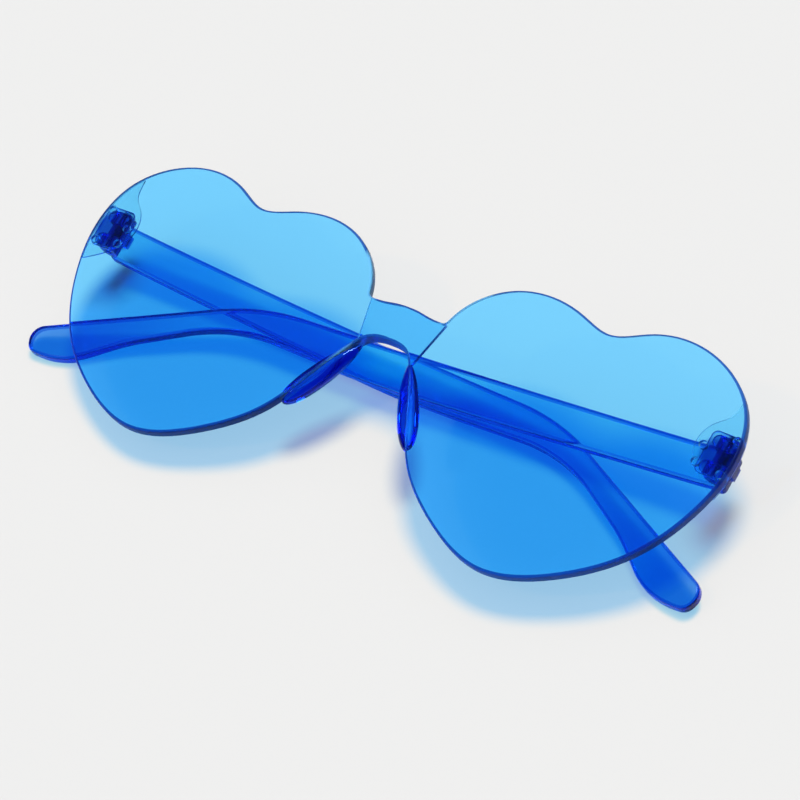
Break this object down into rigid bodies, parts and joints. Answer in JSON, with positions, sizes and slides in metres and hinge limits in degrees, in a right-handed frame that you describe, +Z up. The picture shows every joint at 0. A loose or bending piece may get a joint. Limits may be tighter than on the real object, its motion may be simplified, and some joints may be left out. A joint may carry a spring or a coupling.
{
  "type": "heart shaped sunglasses",
  "caption": "Rimless heart shaped sunglasses in clear blue plastic: one moulded lens plate with a thickened bridge, spindle nose pads and folding temples on screwed hinges.",
  "frame": {"origin": "on the table under the middle of the folded glasses, at the height of the right temple and the two temple tips that they stand on", "axes": "+X along the width towards the wearer's left, +Y along the table from the hearts' points to their lobes, +Z up from the table out of the lenses, which lean about 14 degrees with the lobes higher"},
  "size_m": [0.1526, 0.0546, 0.0217],
  "materials": {
    "lens_plastic": "clear blue, polished",
    "temple_plastic": "clear blue, polished",
    "hinge_plastic": "clear blue, as moulded",
    "pad_plastic": "clear blue, polished",
    "screw_steel": "bright turned"
  },
  "bodies": {
    "front": {"front_shield": "lens_plastic", "nose_pad_left": "pad_plastic", "nose_pad_right": "pad_plastic", "hinge_block_left": "hinge_plastic", "hinge_block_right": "hinge_plastic", "hinge_screw_left": "screw_steel", "hinge_screw_right": "screw_steel"},
    "temple_left": {"temple_left": "temple_plastic"},
    "temple_right": {"temple_right": "temple_plastic"}
  },
  "joints": [
    {"name": "temple_left_hinge", "type": "hinge", "parent": "front", "child": "temple_left", "pos_m": [0.06958, 0.01032, 0.012], "axis": [0.0024, -0.9712, -0.2381], "range_deg": [0, 90.96]},
    {"name": "temple_right_hinge", "type": "hinge", "parent": "front", "child": "temple_right", "pos_m": [-0.06999, 0.01067, 0.00917], "axis": [-0.0024, 0.9712, 0.2381], "range_deg": [0, 89.9]}
  ]
}
